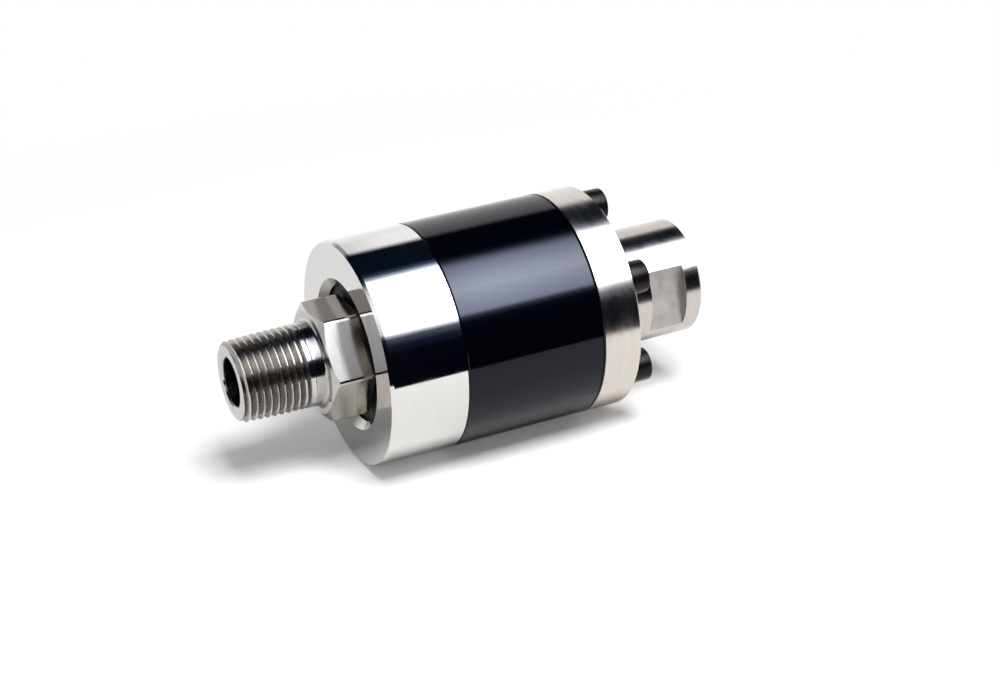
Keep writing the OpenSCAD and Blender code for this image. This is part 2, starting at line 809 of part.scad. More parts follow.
module seal_spring() color("#c2c5c7") {
    sides = 8;
    steps = round(spring_turns * 24);
    points = [for (i = [0 : steps], k = [0 : sides - 1])
        spring_point(i * spring_turns / steps, k * 360 / sides)];
    skin = [for (i = [0 : steps - 1], k = [0 : sides - 1]) let (next = (k + 1) % sides)
        [i * sides + k, i * sides + next, (i + 1) * sides + next, (i + 1) * sides + k]];
    ends = [
        [for (k = [sides - 1 : -1 : 0]) k],
        [for (k = [0 : sides - 1]) steps * sides + k]
    ];
    polyhedron(points, concat(skin, ends), convexity = 8);
}

rotor_shaft();
front_cover();
bearing_housing();
rear_flange();
cap_screws();
shaft_seal();
garter_spring();
inner_race(front_bearing_x);  // front_inner_race
outer_race(front_bearing_x);  // front_outer_race
balls(front_bearing_x);  // front_balls
ball_cage(front_bearing_x);  // front_ball_cage
bearing_shields(front_bearing_x);  // front_bearing_shields
housing_ring(front_bearing_end);  // front_retaining_ring
inner_race(rear_bearing_x);  // rear_inner_race
outer_race(rear_bearing_x);  // rear_outer_race
balls(rear_bearing_x);  // rear_balls
ball_cage(rear_bearing_x);  // rear_ball_cage
bearing_shields(rear_bearing_x);  // rear_bearing_shields
housing_ring(rear_bearing_end);  // rear_retaining_ring
inner_spacer();
shaft_retaining_ring();
rotating_seal_ring();
drive_pin();
rotor_oring();
carbon_seal_ring();
seal_carrier();
seal_spring();
carrier_oring();
antirotation_pins();
flange_oring();
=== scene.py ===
import bpy
import math
from mathutils import Matrix, Vector


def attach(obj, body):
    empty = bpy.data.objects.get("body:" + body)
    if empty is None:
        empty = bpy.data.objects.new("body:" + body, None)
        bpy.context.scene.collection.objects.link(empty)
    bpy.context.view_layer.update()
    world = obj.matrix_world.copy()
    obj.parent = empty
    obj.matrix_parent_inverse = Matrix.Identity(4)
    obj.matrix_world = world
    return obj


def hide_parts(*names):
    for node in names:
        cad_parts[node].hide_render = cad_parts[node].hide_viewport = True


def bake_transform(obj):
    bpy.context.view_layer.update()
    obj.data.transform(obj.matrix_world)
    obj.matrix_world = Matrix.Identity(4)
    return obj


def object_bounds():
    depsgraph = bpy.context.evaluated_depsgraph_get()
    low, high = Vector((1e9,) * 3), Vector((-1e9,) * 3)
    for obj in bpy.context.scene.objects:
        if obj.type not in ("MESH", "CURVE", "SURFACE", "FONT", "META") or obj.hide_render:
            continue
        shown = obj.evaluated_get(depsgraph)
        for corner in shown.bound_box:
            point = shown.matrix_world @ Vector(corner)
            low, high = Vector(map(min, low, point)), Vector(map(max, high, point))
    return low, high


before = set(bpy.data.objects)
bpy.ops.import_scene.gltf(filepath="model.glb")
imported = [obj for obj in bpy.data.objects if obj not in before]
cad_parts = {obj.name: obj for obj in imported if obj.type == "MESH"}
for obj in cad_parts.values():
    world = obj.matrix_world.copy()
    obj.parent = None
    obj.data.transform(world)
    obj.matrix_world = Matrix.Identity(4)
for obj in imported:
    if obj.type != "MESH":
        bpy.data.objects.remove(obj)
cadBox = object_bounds()
print("frame loaded")

bpy.context.scene.view_settings.view_transform = "Standard"
mm = 0.001

# how close a vertex lies to a place along X or to a radius to count as on it
near = {"along": 0.01 * mm, "radius": 0.02 * mm}

# what the taper threads on the rotor and in the port have in common
pipeThread = {"pitch": 1.814 * mm, "height": 1.555 * mm, "taper": 16, "stepsPerTurn": 96}
rotorGaugeX = -11.58 * mm


# everything below works on one object at a time
def selectOnly(obj):
    bpy.ops.object.select_all(action="DESELECT")
    obj.select_set(True)
    bpy.context.view_layer.objects.active = obj


def applyModifiers(obj):
    selectOnly(obj)
    for modifier in list(obj.modifiers):
        bpy.ops.object.modifier_apply(modifier=modifier.name)


def applyPlace(obj):
    selectOnly(obj)
    bpy.ops.object.transform_apply(location=True, rotation=True, scale=True)


def tidyMesh(obj, smoothAngle):
    selectOnly(obj)
    bpy.ops.object.mode_set(mode="EDIT")
    bpy.ops.mesh.select_all(action="SELECT")
    bpy.ops.mesh.remove_doubles(threshold=0.001 * mm)
    bpy.ops.mesh.dissolve_degenerate(threshold=0.0005 * mm)
    bpy.ops.mesh.normals_make_consistent(inside=False)
    bpy.ops.object.mode_set(mode="OBJECT")
    bpy.ops.object.shade_smooth_by_angle(angle=math.radians(smoothAngle))


def cutWith(obj, cutter, operation="DIFFERENCE"):
    modifier = obj.modifiers.new("cut", "BOOLEAN")
    modifier.operation = operation
    modifier.solver = "EXACT"
    modifier.object = cutter
    applyModifiers(obj)
    bpy.data.objects.remove(cutter)


# goes into edit mode with the edges selected whose two ends pass the test; coming from vertex
# mode, as the first call does, the edges that join those ends are selected with them
def selectEdges(obj, passes):
    selectOnly(obj)
    bpy.ops.object.mode_set(mode="EDIT")
    bpy.ops.mesh.select_all(action="DESELECT")
    bpy.ops.object.mode_set(mode="OBJECT")
    vertices = obj.data.vertices
    for edge in obj.data.edges:
        if passes(*[vertices[index].co for index in edge.vertices]):
            edge.select = True
    bpy.ops.object.mode_set(mode="EDIT")
    bpy.ops.mesh.select_mode(type="EDGE")


# a merged copy of a CAD node, to be worked on as a mesh of its own
def copyNode(nodeName, name):
    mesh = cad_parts[nodeName].data.copy()
    mesh.materials.clear()
    obj = bpy.data.objects.new(name, mesh)
    bpy.context.scene.collection.objects.link(obj)
    selectOnly(obj)
    bpy.ops.mesh.customdata_custom_splitnormals_clear()
    bpy.ops.object.mode_set(mode="EDIT")
    bpy.ops.mesh.select_all(action="SELECT")
    bpy.ops.mesh.remove_doubles(threshold=0.0005 * mm)
    bpy.ops.mesh.dissolve_limited(angle_limit=math.radians(0.05))
    bpy.ops.mesh.normals_make_consistent(inside=False)
    bpy.ops.object.mode_set(mode="OBJECT")
    return obj


# a V groove that winds along X and rises out of the work at one end
def windGroove(groove):
    height = groove["height"]
    inward = -1 if groove["outside"] else 1
    middle = groove["rootRadius"] - inward * height * 2 / 3
    bpy.ops.mesh.primitive_circle_add(
        vertices=3, radius=height * 2 / 3, location=(groove["start"], 0, middle),
        rotation=(inward * math.pi / 2, 0, 0))
    cutter = bpy.context.object
    applyPlace(cutter)
    winding = cutter.modifiers.new("winding", "SCREW")
    winding.axis = "X"
    winding.screw_offset = groove["pitch"]
    winding.iterations = groove["turns"]
    winding.steps = winding.render_steps = groove["stepsPerTurn"]
    winding.use_merge_vertices = False
    applyModifiers(cutter)
    for vertex in cutter.data.vertices:
        x, y, z = vertex.co
        radius = math.hypot(y, z)
        rise = (x - groove["gaugeX"]) / groove["taper"] / 2 if groove["taper"] else 0
        fade = max(0, (x - groove["fadeX"]) * groove["fadeSide"]) * groove["fadeSlope"]
        turned = (radius + rise - inward * fade) / radius
        vertex.co = (x, y * turned, z * turned)
    bpy.ops.object.mode_set(mode="EDIT")
    bpy.ops.mesh.select_all(action="SELECT")
    bpy.ops.mesh.fill_holes(sides=4)
    bpy.ops.mesh.normals_make_consistent(inside=False)
    bpy.ops.object.mode_set(mode="OBJECT")
    return cutter


# nodes of a material, with their values or the sockets that feed them
def addNode(mat, kind, inputs={}, **settings):
    made = mat.node_tree.nodes.new("ShaderNode" + kind)
    for key, value in settings.items():
        setattr(made, key, value)
    for key, value in inputs.items():
        if isinstance(value, bpy.types.NodeSocket):
            mat.node_tree.links.new(value, made.inputs[key])
        else:
            made.inputs[key].default_value = value
    return made


def calc(mat, operation, *values):
    return addNode(mat, "Math", dict(enumerate(values)), operation=operation).outputs[0]


def calcVector(mat, operation, *values):
    return addNode(mat, "VectorMath", dict(enumerate(values)), operation=operation).outputs[0]


def scaleVector(mat, vector, factor):
    return addNode(mat, "VectorMath", {0: vector, "Scale": factor}, operation="SCALE").outputs[0]


def lengthOf(mat, vector):
    return addNode(mat, "VectorMath", {0: vector}, operation="LENGTH").outputs["Value"]


def noiseAt(mat, place, scale, detail):
    return addNode(
        mat, "TexNoise", {"Vector": place, "Scale": scale, "Detail": detail}).outputs["Fac"]


# the place along X, the vector away from the axis, and its length
def roundAxis(mat):
    place = addNode(mat, "TexCoord").outputs["Object"]
    x = addNode(mat, "SeparateXYZ", {0: place}).outputs["X"]
    side = calcVector(mat, "MULTIPLY", place, (0, 1, 1))
    return x, side, lengthOf(mat, side)


# how the tool marks of the metals run and how far they change the gloss
toolMarks = {
    "acrossFace": 1.7,
    "arcWander": 60,
    "broadSpacing": 0.16,
    "broadShare": 0.45,
    "roughnessRange": (0.7, 1.3),
    "zoneRange": (0.75, 1.25),
    "cloudsPerMetre": 140,
    "dulling": (-0.02, 0.03),
}


# noise that is fine across the turning marks and slow round the X axis
def ringNoise(mat, perMetre, turns, detail):
    x, side, radius = roundAxis(mat)
    across = calc(mat, "MULTIPLY_ADD", radius, toolMarks["acrossFace"], x)
    quick = addNode(mat, "CombineXYZ", {0: calc(mat, "MULTIPLY", across, perMetre)}).outputs[0]
    slow = scaleVector(mat, calcVector(mat, "NORMALIZE", side), turns)
    return noiseAt(mat, calcVector(mat, "ADD", slow, quick), 1, detail)


# noise in arcs round a far point on the axis, as a face mill leaves them on a flat
def arcNoise(mat, centreX, perMetre, detail):
    place = addNode(mat, "TexCoord").outputs["Object"]
    reach = lengthOf(mat, calcVector(mat, "ADD", place, (-centreX, 0, 0)))
    where = addNode(mat, "CombineXYZ", {0: calc(mat, "MULTIPLY", reach, perMetre)}).outputs[0]
    wander = scaleVector(mat, place, toolMarks["arcWander"])
    return noiseAt(mat, calcVector(mat, "ADD", where, wander), 1, detail)


def cloudNoise(mat, perMetre, detail):
    return noiseAt(mat, addNode(mat, "TexCoord").outputs["Object"], perMetre, detail)


# 1 between two places along X and two radii, 0 elsewhere; the first place can lie on a cone,
# and the radii can follow a taper
def bandMask(mat, band):
    x, _, radius = roundAxis(mat)
    start = calc(mat, "MULTIPLY_ADD", radius, band.get("coneSlope", 0), band["fromX"])
    after = calc(mat, "GREATER_THAN", x, start)
    before = calc(mat, "LESS_THAN", x, band["toX"])
    if "taper" in band:
        front = calc(mat, "MAXIMUM", calc(mat, "SUBTRACT", band["gaugeX"], x), 0)
        radius = calc(mat, "MULTIPLY_ADD", front, 0.5 / band["taper"], radius)
    over = calc(mat, "GREATER_THAN", radius, band["fromRadius"])
    under = calc(mat, "LESS_THAN", radius, band["toRadius"])
    along = calc(mat, "MULTIPLY", after, before)
    return calc(mat, "MULTIPLY", along, calc(mat, "MULTIPLY", over, under))


def blendValues(mat, factor, first, second):
    mixed = addNode(mat, "Mix", {0: factor, 2: first, 3: second}, data_type="FLOAT")
    return mixed.outputs[0]


def blendColours(mat, factor, first, second):
    mixed = addNode(mat, "Mix", {0: factor, 6: first, 7: second}, data_type="RGBA")
    return mixed.outputs[2]


# noise lies mostly between 0.3 and 0.7, and is spread over the range that is asked for
def spread(mat, value, low, high, fromLow=0.3, fromHigh=0.7):
    scaled = addNode(mat, "MapRange", {
        "Value": value, "From Min": fromLow, "From Max": fromHigh, "To Min": low, "To Max": high})
    return scaled.outputs[0]


# a roughness that swings round its middle value by the two shares of a range
def spreadRoughness(mat, value, middle, shares):
    return spread(mat, value, middle * shares[0], middle * shares[1])


def newMaterial(name, metallic, **constants):
    mat = bpy.data.materials.new(name)
    mat.use_nodes = True
    shader = mat.node_tree.nodes["Principled BSDF"]
    shader.inputs["Metallic"].default_value = metallic
    for key, value in constants.items():
        shader.inputs[key.replace("_", " ")].default_value = value
    return mat, shader


def finishMaterial(mat, shader, colour, roughness, height, depth):
    bump = addNode(mat, "Bump", {"Strength": 1, "Distance": depth, "Height": height})
    mat.node_tree.links.new(colour, shader.inputs["Base Color"])
    mat.node_tree.links.new(roughness, shader.inputs["Roughness"])
    mat.node_tree.links.new(bump.outputs[0], shader.inputs["Normal"])
    return mat


# metal turned on a lathe; a zone is a part of it with another tone or other marks
def turnedMetal(name, look):
    mat, shader = newMaterial(name, look["metallic"])
    spacing = look["marksPerMetre"]
    fine = ringNoise(mat, spacing, turns=1.2, detail=2)
    broad = ringNoise(mat, spacing * toolMarks["broadSpacing"], turns=3, detail=3)
    cloud = cloudNoise(mat, toolMarks["cloudsPerMetre"], detail=4)
    streaks = blendValues(mat, toolMarks["broadShare"], fine, broad)
    colour = blendColours(mat, spread(mat, streaks, 0, 1), look["tint"], look["shade"])
    roughness = spreadRoughness(mat, streaks, look["roughness"], toolMarks["roughnessRange"])
    height = streaks
    for zone in look.get("zones", []):
        mask = bandMask(mat, zone)
        marks = streaks
        if "arcCentreX" in zone:
            marks = arcNoise(mat, zone["arcCentreX"], zone["arcsPerMetre"], detail=3)
            height = blendValues(mat, mask, height, marks)
        if "mottlePerMetre" in zone:
            marks = cloudNoise(mat, zone["mottlePerMetre"], detail=3)
        toned = blendColours(mat, spread(mat, marks, 0, 1), zone["tint"], zone["shade"])
        colour = blendColours(mat, mask, colour, toned)
        marked = spreadRoughness(mat, marks, zone["roughness"], toolMarks["zoneRange"])
        roughness = blendValues(mat, mask, roughness, marked)
    dulled = calc(mat, "ADD", spread(mat, cloud, *toolMarks["dulling"]), roughness)
    return finishMaterial(mat, shader, colour, dulled, height, look["markDepth"])


# the hex's chamfer in mm: its run along X per step outwards, and where it meets the front face
hexCone = {"slope": 0.577, "faceRadius": 13.15, "faceX": 0.05}

rotorLook = {
    "metallic": 1,
    "tint": (0.66, 0.645, 0.625, 1),
    "shade": (0.56, 0.545, 0.525, 1),
    "roughness": 0.12,
    "marksPerMetre": 4200,
    "markDepth": 0.0022 * mm,
    "zones": [{
        # the end face of the thread
        "fromX": -21.6 * mm, "toX": -21.42 * mm, "fromRadius": 5 * mm, "toRadius": 12 * mm,
        "tint": (0.59, 0.58, 0.575, 1),
        "shade": (0.50, 0.49, 0.485, 1),
        "roughness": 0.12,
    }, {
        # the hex's front face and the cone of its chamfer
        "fromX": -0.4 * mm, "toX": 1.6 * mm, "fromRadius": 10 * mm, "toRadius": 16 * mm,
        "tint": (0.56, 0.55, 0.54, 1),
        "shade": (0.48, 0.47, 0.46, 1),
        "roughness": 0.12,
    }, {
        # the milled flats of the hex, up to the cone of its chamfer
        "fromX": (hexCone["faceX"] - hexCone["slope"] * hexCone["faceRadius"]) * mm,
        "toX": 11.4 * mm, "coneSlope": hexCone["slope"],
        "fromRadius": 13.3 * mm, "toRadius": 20 * mm,
        "tint": (0.58, 0.545, 0.50, 1),
        "shade": (0.46, 0.43, 0.39, 1),
        "roughness": 0.17,
        "arcCentreX": -24 * mm,
        "arcsPerMetre": 3600,
    }, {
        # the thread's flanks, below its burnished crests
        "fromX": -21.4 * mm, "toX": -2.6 * mm, "fromRadius": 8.5 * mm, "toRadius": 10.40 * mm,
        "taper": pipeThread["taper"], "gaugeX": rotorGaugeX,
        "tint": (0.40, 0.375, 0.35, 1),
        "shade": (0.29, 0.27, 0.25, 1),
        "roughness": 0.25,
    }, {
        # the neck between the thread and the hex
        "fromX": -2.6 * mm, "toX": -0.4 * mm, "fromRadius": 8.5 * mm, "toRadius": 13 * mm,
        "tint": (0.47, 0.45, 0.43, 1),
        "shade": (0.38, 0.36, 0.345, 1),
        "roughness": 0.14,
    }, {
        # the bore, darkened with painted shade inside the hole
        "fromX": -21.2 * mm, "toX": 90 * mm, "fromRadius": 5 * mm, "toRadius": 6.4 * mm,
        "tint": (0.20, 0.195, 0.19, 1),
        "shade": (0.10, 0.097, 0.095, 1),
        "roughness": 0.26,
    }, {
        # the journal and the end of the hex inside the cover's mouth, nearly black with painted
        # shade
        "fromX": 11.29 * mm, "toX": 24 * mm, "fromRadius": 8 * mm, "toRadius": 16 * mm,
        "tint": (0.035, 0.033, 0.031, 1),
        "shade": (0.02, 0.019, 0.018, 1),
        "roughness": 0.34,
    }],
}
coverLook = {
    "metallic": 1,
    "tint": (0.77, 0.757, 0.737, 1),
    "shade": (0.725, 0.713, 0.693, 1),
    "roughness": 0.06,
    "marksPerMetre": 5200,
    "markDepth": 0.0010 * mm,
    "zones": [{
        # the wall of the mouth behind its polished chamfer, nearly black with painted shade
        "fromX": 11.25 * mm, "toX": 29 * mm, "fromRadius": 8 * mm, "toRadius": 18.2 * mm,
        "tint": (0.016, 0.015, 0.014, 1),
        "shade": (0.009, 0.0085, 0.008, 1),
        "roughness": 0.42,
    }, {
        # the chamfer of the mouth
        "fromX": 9.17 * mm, "toX": 11.25 * mm, "fromRadius": 17 * mm, "toRadius": 21.5 * mm,
        "tint": (0.60, 0.585, 0.56, 1),
        "shade": (0.55, 0.535, 0.51, 1),
        "roughness": 0.16,
    }],
}
flangeLook = {
    "metallic": 1,
    "tint": (0.73, 0.675, 0.63, 1),
    "shade": (0.65, 0.60, 0.56, 1),
    "roughness": 0.18,
    "marksPerMetre": 3600,
    "markDepth": 0.0020 * mm,
    "zones": [{
        # the stub, a little darker than the flange
        "fromX": 77.4 * mm, "toX": 104 * mm, "fromRadius": 5 * mm, "toRadius": 15.1 * mm,
        "tint": (0.655, 0.60, 0.56, 1),
        "shade": (0.575, 0.525, 0.49, 1),
        "roughness": 0.18,
    }, {
        # the two wrench flats
        "fromX": 88.32 * mm, "toX": 98.36 * mm, "fromRadius": 12.3 * mm, "toRadius": 14.97 * mm,
        "tint": (0.545, 0.52, 0.505, 1),
        "shade": (0.475, 0.455, 0.44, 1),
        "roughness": 0.36,
        "mottlePerMetre": 300,
    }, {
        # the milled shoulder at the end of the flats, darkened with painted shade
        "fromX": 98.36 * mm, "toX": 98.5 * mm, "fromRadius": 12.3 * mm, "toRadius": 14.9 * mm,
        "tint": (0.40, 0.365, 0.335, 1),
        "shade": (0.29, 0.262, 0.24, 1),
        "roughness": 0.22,
    }, {
        # the shadowed edge at the black body
        "fromX": 66.9 * mm, "toX": 67.3 * mm, "fromRadius": 28 * mm, "toRadius": 30 * mm,
        "tint": (0.05, 0.05, 0.055, 1),
        "shade": (0.03, 0.03, 0.035, 1),
        "roughness": 0.30,
    }],
}
raceLook = {
    "metallic": 1,
    "tint": (0.74, 0.75, 0.76, 1),
    "shade": (0.66, 0.67, 0.68, 1),
    "roughness": 0.12,
    "marksPerMetre": 6000,
    "markDepth": 0.0008 * mm,
}
brassLook = {
    "metallic": 1,
    "tint": (0.78, 0.58, 0.28, 1),
    "shade": (0.66, 0.47, 0.20, 1),
    "roughness": 0.26,
    "marksPerMetre": 3200,
    "markDepth": 0.0020 * mm,
}
springLook = {
    "metallic": 1,
    "tint": (0.72, 0.73, 0.74, 1),
    "shade": (0.58, 0.59, 0.60, 1),
    "roughness": 0.28,
    "marksPerMetre": 1800,
    "markDepth": 0.0015 * mm,
}
clipLook = {
    "metallic": 1,
    "tint": (0.16, 0.15, 0.145, 1),
    "shade": (0.09, 0.085, 0.08, 1),
    "roughness": 0.34,
    "marksPerMetre": 2400,
    "markDepth": 0.0015 * mm,
}
anodisedLook = {
    "tint": (0.0006, 0.0008, 0.0022, 1),
    "shade": (0.0004, 0.0006, 0.0016, 1),
    "roughness": 0.07,
    "roughnessRange": (0.8, 1.3),
    "marksPerMetre": 4600,
    "broadPerMetre": 700,
    "broadShare": 0.4,
    "cloudsPerMetre": 120,
    "markDepth": 0.0009 * mm,
}


# clear black anodising over turned aluminium
def blackAnodising():
    look = anodisedLook
    mat, shader = newMaterial(
        "blackAnodising", metallic=0, IOR=1.36, Specular_Tint=(0.80, 0.84, 1.0, 1))
    fine = ringNoise(mat, look["marksPerMetre"], turns=1.2, detail=2)
    broad = ringNoise(mat, look["broadPerMetre"], turns=3, detail=3)
    cloud = cloudNoise(mat, look["cloudsPerMetre"], detail=4)
    marks = blendValues(mat, look["broadShare"], fine, broad)
    colour = blendColours(mat, spread(mat, cloud, 0, 1), look["tint"], look["shade"])
    roughness = spreadRoughness(mat, marks, look["roughness"], look["roughnessRange"])
    return finishMaterial(mat, shader, colour, roughness, marks, look["markDepth"])


# black oxide on the screws, thin and a little brown where it catches light
def blackOxide():
    mat, shader = newMaterial("blackOxide", metallic=0.85)
    cloud = cloudNoise(mat, perMetre=700, detail=5)
    grain = cloudNoise(mat, perMetre=9000, detail=3)
    colour = blendColours(
        mat, spread(mat, cloud, 0, 1), (0.022, 0.019, 0.0175, 1), (0.011, 0.010, 0.0105, 1))
    roughness = spread(mat, grain, low=0.26, high=0.38)
    return finishMaterial(mat, shader, colour, roughness, grain, depth=0.003 * mm)


def sealRubber():
    mat, shader = newMaterial("sealRubber", metallic=0, Specular_IOR_Level=0.15)
    cloud = cloudNoise(mat, perMetre=300, detail=4)
    grain = cloudNoise(mat, perMetre=12000, detail=2)
    colour = blendColours(
        mat, spread(mat, cloud, 0, 1), (0.007, 0.007, 0.008, 1), (0.013, 0.0125, 0.0125, 1))
    roughness = spread(mat, cloud, low=0.42, high=0.62)
    return finishMaterial(mat, shader, colour, roughness, grain, depth=0.004 * mm)


def sealCarbon():
    mat, shader = newMaterial("sealCarbon", metallic=0.2)
    speck = cloudNoise(mat, perMetre=5200, detail=4)
    cloud = cloudNoise(mat, perMetre=400, detail=3)
    colour = blendColours(
        mat, spread(mat, speck, 0, 1), (0.030, 0.030, 0.032, 1), (0.075, 0.076, 0.080, 1))
    roughness = spread(mat, cloud, low=0.30, high=0.48)
    return finishMaterial(mat, shader, colour, roughness, speck, depth=0.002 * mm)


def sealCarbide():
    mat, shader = newMaterial("sealCarbide", metallic=0.35)
    speck = cloudNoise(mat, perMetre=7800, detail=3)
    rings = ringNoise(mat, perMetre=5200, turns=1.2, detail=2)
    colour = blendColours(
        mat, spread(mat, speck, 0, 1), (0.060, 0.063, 0.068, 1), (0.11, 0.115, 0.125, 1))
    roughness = spread(mat, rings, low=0.14, high=0.26)
    return finishMaterial(mat, shader, colour, roughness, rings, depth=0.0010 * mm)


finishes = {
    "rotorSteel": turnedMetal("rotorSteel", rotorLook),
    "coverSteel": turnedMetal("coverSteel", coverLook),
    "flangeSteel": turnedMetal("flangeSteel", flangeLook),
    "bearingSteel": turnedMetal("bearingSteel", raceLook),
    "cageBrass": turnedMetal("cageBrass", brassLook),
    "springSteel": turnedMetal("springSteel", springLook),
    "clipSteel": turnedMetal("clipSteel", clipLook),
    "blackAnodising": blackAnodising(),
    "blackOxide": blackOxide(),
    "sealRubber": sealRubber(),
    "sealCarbon": sealCarbon(),
    "sealCarbide": sealCarbide(),
}
print("finishes made")

# the CAD nodes keep their shape and take these finishes
nodeFinishes = {
    "coverSteel": ["front_cover", "seal_carrier"],
    "blackAnodising": ["bearing_housing"],
    "rotorSteel": ["rotor_shaft", "inner_spacer"],
    "flangeSteel": ["rear_flange"],
    "blackOxide": ["cap_screws"],
    "sealRubber": ["shaft_seal", "rotor_oring", "carrier_oring", "flange_oring"],
    "bearingSteel": [
        "front_inner_race", "front_outer_race", "front_balls", "front_bearing_shields",
        "rear_inner_race", "rear_outer_race", "rear_balls", "rear_bearing_shields"],
    "cageBrass": ["front_ball_cage", "rear_ball_cage"],
    "springSteel": ["garter_spring", "seal_spring", "drive_pin", "antirotation_pins"],
    "clipSteel": ["front_retaining_ring", "rear_retaining_ring", "shaft_retaining_ring"],
    "sealCarbon": ["carbon_seal_ring"],
    "sealCarbide": ["rotating_seal_ring"],
}
for finish, nodeNames in nodeFinishes.items():
    for nodeName in nodeNames:
        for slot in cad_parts[nodeName].material_slots:
            slot.material = finishes[finish]
print("CAD nodes dressed")

# the rotor: its blank with the hex's corners broken and the taper thread cut in
rotorThread = {
    **pipeThread,
    "outside": True,
    "rootRadius": 9.18 * mm,
    "start": -25.15 * mm,
    "turns": 13,
    "gaugeX": rotorGaugeX,
    "fadeX": -5.6 * mm,
    "fadeSide": 1,
    "fadeSlope": 0.36,
}
hexCorners = {
    "radius": 15.588 * mm,
    "fromX": 0.2 * mm,
    "toX": 11.31 * mm,
    "shortest": 1 * mm,
    "width": 1.2 * mm,
}


def liesOnHexCorner(end):
    offCorner = abs(math.hypot(end.y, end.z) - hexCorners["radius"])
    return offCorner < near["radius"] and hexCorners["fromX"] < end.x <= hexCorners["toX"]


# bevels the six long corners, and with them the edges of the back face that join their ends
def breakHexCorners(obj):
    selectEdges(obj, lambda first, last: (
        liesOnHexCorner(first) and liesOnHexCorner(last)
        and abs(first.x - last.x) > hexCorners["shortest"]))
    bpy.ops.mesh.bevel(
        offset_type="WIDTH", offset=hexCorners["width"], segments=2, affect="EDGES")
    bpy.ops.object.mode_set(mode="OBJECT")


def makeRotor():
    rotor = copyNode("rotor_shaft", "threadedRotor")
    breakHexCorners(rotor)
    cutWith(rotor, windGroove(rotorThread))
    tidyMesh(rotor, smoothAngle=12)
    rotor.data.materials.append(finishes["rotorSteel"])
    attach(rotor, "rotor")
    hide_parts("rotor_shaft")
    print("rotor threaded,", len(rotor.data.polygons), "faces")


makeRotor()

# the flange with its stub: the port is tapped with the same taper thread
portThread = {
    **pipeThread,
    "outside": False,
    "rootRadius": 10.66 * mm,
    "start": 87.6 * mm,
    "turns": 10,
    "gaugeX": 103.05 * mm,
    "fadeX": 90.2 * mm,
    "fadeSide": -1,
    "fadeSlope": 0.5,
}


def makeFlange():
    flange = copyNode("rear_flange", "tappedFlange")
    cutWith(flange, windGroove(portThread))
    tidyMesh(flange, smoothAngle=22)
    flange.data.materials.append(finishes["flangeSteel"])
    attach(flange, "housing")
    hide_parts("rear_flange")
    print("flange tapped,", len(flange.data.polygons), "faces")


makeFlange()

# socket-head cap screws, modelled once on the axis and copied round it
screw = {
    "count": 6,
    "firstAngle": 30,
    "circle": 24.5 * mm,
    "headX": 77.25 * mm,
    "headRadius": 4.25 * mm,
    "headHeight": 5 * mm,
    "headRounding": 0.55 * mm,
    "shankRadius": 2.5 * mm,
    "tipX": 17.25 * mm,
    "tipChamfer": 0.6 * mm,
    "socketRadius": 4 / math.sqrt(3) * mm,
    "socketDepth": 2.5 * mm,
    "socketChamfer": 0.3 * mm,
    "overlap": 1 * mm,
}
screwThread = {
    "outside": True,
    "pitch": 0.8 * mm,
    "height": 0.64 * mm,
    "rootRadius": 2.01 * mm,
    "start": 16.6 * mm,
    "turns": 28,
    "stepsPerTurn": 32,
    "gaugeX": 0,
    "taper": 0,
    "fadeX": 37.4 * mm,
    "fadeSide": 1,
    "fadeSlope": 0.4,
}


# bevels the edges that lie in a plane across X, on a given radius
def bevelRing(obj, x, radius, width, segments):
    def liesOnRing(end):
        offRadius = abs(math.hypot(end.y, end.z) - radius)
        return abs(end.x - x) < near["along"] and offRadius < near["radius"]

    selectEdges(obj, lambda first, last: liesOnRing(first) and liesOnRing(last))
    bpy.ops.mesh.bevel(offset=width, segments=segments, affect="EDGES")
    bpy.ops.object.mode_set(mode="OBJECT")


def addBar(radius, fromX, toX, sides):
    bpy.ops.mesh.primitive_cylinder_add(
        vertices=sides, radius=radius, depth=toX - fromX,
        location=((fromX + toX) / 2, 0, 0), rotation=(0, math.pi / 2, 0))
    bar = bpy.context.object
    applyPlace(bar)
    return bar


def makeScrewBlank():
    blank = addBar(
        screw["shankRadius"], screw["tipX"], screw["headX"] + screw["overlap"], sides=64)
    bevelRing(blank, screw["tipX"], screw["shankRadius"], screw["tipChamfer"], segments=1)
    cutWith(blank, windGroove(screwThread))

    endX = screw["headX"] + screw["headHeight"]
    head = addBar(screw["headRadius"], screw["headX"], endX, sides=96)
    bevelRing(head, endX, screw["headRadius"], screw["headRounding"], segments=4)
    socket = addBar(
        screw["socketRadius"], endX - screw["socketDepth"], endX + screw["overlap"], sides=6)
    cutWith(head, socket)

    # the lead into the socket
    leadRadius = screw["socketRadius"] + screw["socketChamfer"] * 2
    bpy.ops.mesh.primitive_cone_add(
        vertices=48, radius1=leadRadius, radius2=0, depth=leadRadius,
        location=(endX + screw["socketRadius"] / 2, 0, 0), rotation=(0, -math.pi / 2, 0))
    lead = bpy.context.object
    applyPlace(lead)
    cutWith(head, lead)
    cutWith(blank, head, "UNION")
    return blank


def makeScrews():
    blank = makeScrewBlank()
    tidyMesh(blank, smoothAngle=30)
    blank.data.materials.append(finishes["blackOxide"])
    for number in range(screw["count"]):
        piece = blank.copy()
        piece.data = blank.data.copy()
        piece.name = "capScrew" + str(number + 1)
        bpy.context.scene.collection.objects.link(piece)
        angle = math.radians(screw["firstAngle"] + number * 360 / screw["count"])
        piece.location = (0, screw["circle"] * math.cos(angle), screw["circle"] * math.sin(angle))
        piece.rotation_euler = (angle, 0, 0)
        applyPlace(piece)
        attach(piece, "housing")
        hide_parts("cap_screws")
    bpy.data.objects.remove(blank)
    print("screws made")


makeScrews()


def makeSpring():
    coil = copyNode("seal_spring", "faceSpring")
    tidyMesh(coil, smoothAngle=40)
    coil.data.materials.append(finishes["springSteel"])
    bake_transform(coil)
    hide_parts("seal_spring")
    print("spring made")


makeSpring()


